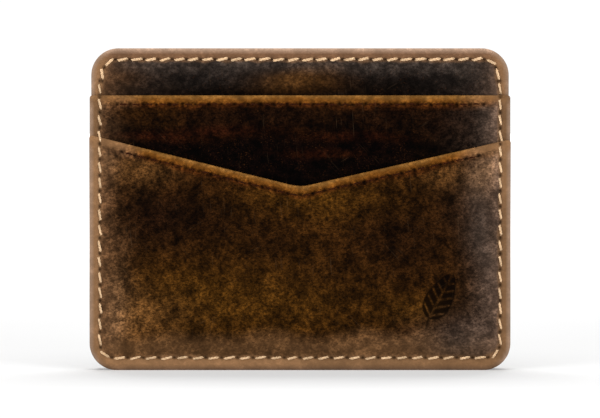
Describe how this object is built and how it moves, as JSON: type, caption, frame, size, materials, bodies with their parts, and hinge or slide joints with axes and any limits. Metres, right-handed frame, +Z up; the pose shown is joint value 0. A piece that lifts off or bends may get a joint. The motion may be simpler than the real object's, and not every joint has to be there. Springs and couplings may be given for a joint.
{
  "type": "card wallet",
  "caption": "Slim leather card wallet with a straight and a V-shaped pocket on each side, a centre pocket open at the top and a contrast-stitched edge.",
  "frame": {"origin": "centre of the footprint, on the surface that the wallet's bottom edge stands on", "axes": "+X across the wallet to its right as seen from the front, +Y from the front to the back, +Z up from the bottom edge to the open top"},
  "size_m": [0.1, 0.0064, 0.0764],
  "materials": {
    "leather": "oiled pull-up leather, dark brown with lighter worn edges and scratches, half matt",
    "lining": "dark brown woven lining cloth, matt",
    "seam_thread": "thick cream waxed thread",
    "mouth_thread": "thin dark brown waxed thread"
  },
  "bodies": {
    "root": {"front_v_pocket_panel": "leather", "front_v_pocket_lining": "lining", "front_v_mouth_thread": "mouth_thread", "front_upper_pocket_panel": "leather", "front_upper_pocket_lining": "lining", "front_upper_mouth_thread": "mouth_thread", "front_body_panel": "leather", "front_body_lining": "lining", "front_top_thread": "seam_thread", "front_seam_thread": "seam_thread", "back_v_pocket_panel": "leather", "back_v_pocket_lining": "lining", "back_v_mouth_thread": "mouth_thread", "back_upper_pocket_panel": "leather", "back_upper_pocket_lining": "lining", "back_upper_mouth_thread": "mouth_thread", "back_body_panel": "leather", "back_body_lining": "lining", "back_top_thread": "seam_thread", "back_seam_thread": "seam_thread"}
  },
  "joints": []
}
